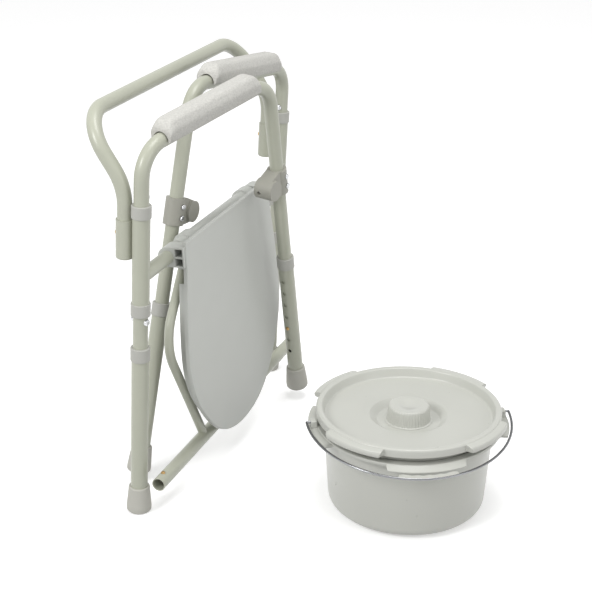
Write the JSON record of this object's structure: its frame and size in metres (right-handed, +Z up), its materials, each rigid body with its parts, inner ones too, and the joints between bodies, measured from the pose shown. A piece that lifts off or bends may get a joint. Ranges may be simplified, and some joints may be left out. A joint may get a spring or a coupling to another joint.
{
  "type": "folding commode chair",
  "caption": "Folding commode chair, shown folded against its seat frame, with a lidded pail standing in front of it",
  "frame": {"origin": "middle of the bottom face of the bounding box, on the floor", "axes": "+X runs from the near leg to the far leg along the crossbar, the seat side faces -Y, +Z up"},
  "size_m": [0.5996, 0.6302, 0.6637],
  "materials": {
    "powder_coat": "pale grey-green powder coat, soft sheen",
    "collar_plastic": "satin moulded plastic",
    "bracket_plastic": "satin moulded plastic",
    "pad_foam": "stippled soft moulded pad",
    "seat_plastic": "satin moulded plastic",
    "pail_plastic": "satin moulded plastic",
    "foot_rubber": "matt rubber",
    "brass_button": "plain",
    "zinc_hardware": "bright zinc",
    "steel_wire": "bright drawn wire"
  },
  "bodies": {
    "back_frame": {"back_socket_far": "powder_coat", "back_socket_near": "powder_coat", "crossbar": "powder_coat", "sleeve_collar_lower_far": "collar_plastic", "sleeve_collar_lower_near": "collar_plastic", "sleeve_collar_upper_far": "collar_plastic", "sleeve_collar_upper_near": "collar_plastic", "sleeve_far": "powder_coat", "sleeve_near": "powder_coat"},
    "side_near": {"arm_pad_near": "pad_foam", "bracket_screw_lower_near": "zinc_hardware", "bracket_screw_upper_near": "zinc_hardware", "leg_bracket_near": "bracket_plastic", "retaining_bolt_lower_near": "zinc_hardware", "retaining_bolt_upper_near": "zinc_hardware", "side_tube_near": "powder_coat"},
    "side_far": {"arm_pad_far": "pad_foam", "bracket_screw_lower_far": "zinc_hardware", "bracket_screw_upper_far": "zinc_hardware", "leg_bracket_far": "bracket_plastic", "retaining_bolt_lower_far": "zinc_hardware", "retaining_bolt_upper_far": "zinc_hardware", "side_tube_far": "powder_coat"},
    "leg_rear_near": {"extension_rear_near": "powder_coat", "extension_collar_rear_near": "collar_plastic", "foot_rear_near": "foot_rubber"},
    "snap_rear_near": {"snap_button_rear_near": "brass_button"},
    "leg_front_near": {"extension_front_near": "powder_coat", "extension_collar_front_near": "collar_plastic", "foot_front_near": "foot_rubber"},
    "snap_front_near": {"snap_button_front_near": "brass_button"},
    "leg_rear_far": {"extension_rear_far": "powder_coat", "extension_collar_rear_far": "collar_plastic", "foot_rear_far": "foot_rubber"},
    "snap_rear_far": {"snap_button_rear_far": "brass_button"},
    "leg_front_far": {"extension_front_far": "powder_coat", "extension_collar_front_far": "collar_plastic", "foot_front_far": "foot_rubber"},
    "snap_front_far": {"snap_button_front_far": "brass_button"},
    "seat_frame": {"front_bar": "powder_coat", "seat_rail_near": "powder_coat", "seat_rail_far": "powder_coat", "rail_eye_near": "powder_coat", "rail_eye_far": "powder_coat"},
    "bar_snap_near": {"bar_button_near": "brass_button"},
    "back_snap_near": {"backrest_button_near": "brass_button"},
    "bar_snap_far": {"bar_button_far": "brass_button"},
    "back_snap_far": {"backrest_button_far": "brass_button"},
    "seat": {"seat_ring": "seat_plastic", "seat_bumper_near": "foot_rubber", "seat_bumper_far": "foot_rubber"},
    "lid": {"seat_lid": "seat_plastic", "lid_bumper_near": "foot_rubber", "lid_bumper_far": "foot_rubber"},
    "backrest": {"backrest_tube": "powder_coat"},
    "pail": {"pail": "pail_plastic"},
    "bail": {"bail_wire": "steel_wire", "bail_grip": "pail_plastic"},
    "pail_cover": {"pail_lid": "pail_plastic", "pail_lid_knob": "pail_plastic"}
  },
  "joints": [
    {"name": "side_near_swing", "type": "hinge", "parent": "back_frame", "child": "side_near", "pos_m": [-0.28, 0.21748, 0.42943], "axis": [0, 0.0515, -0.9987], "range_deg": [0, 25]},
    {"name": "side_far_swing", "type": "hinge", "parent": "back_frame", "child": "side_far", "pos_m": [0.28, 0.21748, 0.42943], "axis": [0, -0.0515, 0.9987], "range_deg": [-7, 0]},
    {"name": "leg_rear_near_slide", "type": "slide", "parent": "side_near", "child": "leg_rear_near", "axis": [0, 0.0515, -0.9987], "range_m": [-0.0254, 0.1016], "deforming": ["snap_button_rear_near"]},
    {"name": "snap_rear_near_press", "type": "slide", "parent": "side_near", "child": "snap_rear_near", "axis": [-0.9803, 0.1974, 0.0102], "range_m": [0, 0.0038], "stiffness_N_per_m": 800},
    {"name": "leg_front_near_slide", "type": "slide", "parent": "side_near", "child": "leg_front_near", "axis": [0.2305, 0.0036, -0.9731], "range_m": [-0.0254, 0.1016], "deforming": ["snap_button_front_near"]},
    {"name": "snap_front_near_press", "type": "slide", "parent": "side_near", "child": "snap_front_near", "axis": [0.9528, -0.204, 0.2249], "range_m": [0, 0.0038], "stiffness_N_per_m": 800},
    {"name": "leg_rear_far_slide", "type": "slide", "parent": "side_far", "child": "leg_rear_far", "axis": [0, 0.0515, -0.9987], "range_m": [-0.0254, 0.1016], "deforming": ["snap_button_rear_far"]},
    {"name": "snap_rear_far_press", "type": "slide", "parent": "side_far", "child": "snap_rear_far", "axis": [0.996, -0.0896, -0.0046], "range_m": [0, 0.0038], "stiffness_N_per_m": 800},
    {"name": "leg_front_far_slide", "type": "slide", "parent": "side_far", "child": "leg_front_far", "axis": [-0.2342, 0.0711, -0.9696], "range_m": [-0.0254, 0.1016], "deforming": ["snap_button_front_far"]},
    {"name": "snap_front_far_press", "type": "slide", "parent": "side_far", "child": "snap_front_far", "axis": [-0.968, 0.075, 0.2393], "range_m": [0, 0.0038], "stiffness_N_per_m": 800},
    {"name": "seat_frame_swing", "type": "hinge", "parent": "back_frame", "child": "seat_frame", "pos_m": [0, 0.21883, 0.40326], "axis": [-1, 0, 0], "range_deg": [0, 25]},
    {"name": "bar_snap_near_press", "type": "slide", "parent": "seat_frame", "child": "bar_snap_near", "axis": [0, -0.0633, -0.998], "range_m": [0, 0.003], "stiffness_N_per_m": 800},
    {"name": "back_snap_near_press", "type": "slide", "parent": "backrest", "child": "back_snap_near", "axis": [0, -0.9987, -0.0515], "range_m": [0, 0.0038], "stiffness_N_per_m": 800},
    {"name": "bar_snap_far_press", "type": "slide", "parent": "seat_frame", "child": "bar_snap_far", "axis": [0, -0.0633, -0.998], "range_m": [0, 0.003], "stiffness_N_per_m": 800},
    {"name": "back_snap_far_press", "type": "slide", "parent": "backrest", "child": "back_snap_far", "axis": [0, -0.9987, -0.0515], "range_m": [0, 0.0038], "stiffness_N_per_m": 800},
    {"name": "seat_ring_swing", "type": "hinge", "parent": "seat_frame", "child": "seat", "pos_m": [0, 0.21883, 0.40326], "axis": [-1, 0, 0], "range_deg": [0, 3]},
    {"name": "seat_lid_swing", "type": "hinge", "parent": "seat", "child": "lid", "pos_m": [0, 0.21883, 0.40326], "axis": [-1, 0, 0], "range_deg": [0, 3]},
    {"name": "backrest_lift", "type": "slide", "parent": "back_frame", "child": "backrest", "axis": [0, -0.0515, 0.9987], "range_m": [0, 0.065], "deforming": ["backrest_button_near", "backrest_button_far"]},
    {"name": "pail_lift", "type": "slide", "parent": "back_frame", "child": "pail", "axis": [0, 0, 1], "range_m": [0, 0.08]},
    {"name": "bail_swing", "type": "hinge", "parent": "pail", "child": "bail", "pos_m": [-0.096, -0.15039, 0.15], "axis": [-0.4695, 0.8829, 0], "range_deg": [0, 97]},
    {"name": "pail_lid_lift", "type": "slide", "parent": "pail", "child": "pail_cover", "axis": [0, 0, 1], "range_m": [0, 0.04]}
  ],
  "couplings": [
    {"joint": "seat_frame_swing", "follows": "side_near_swing", "ratio": 1}
  ]
}
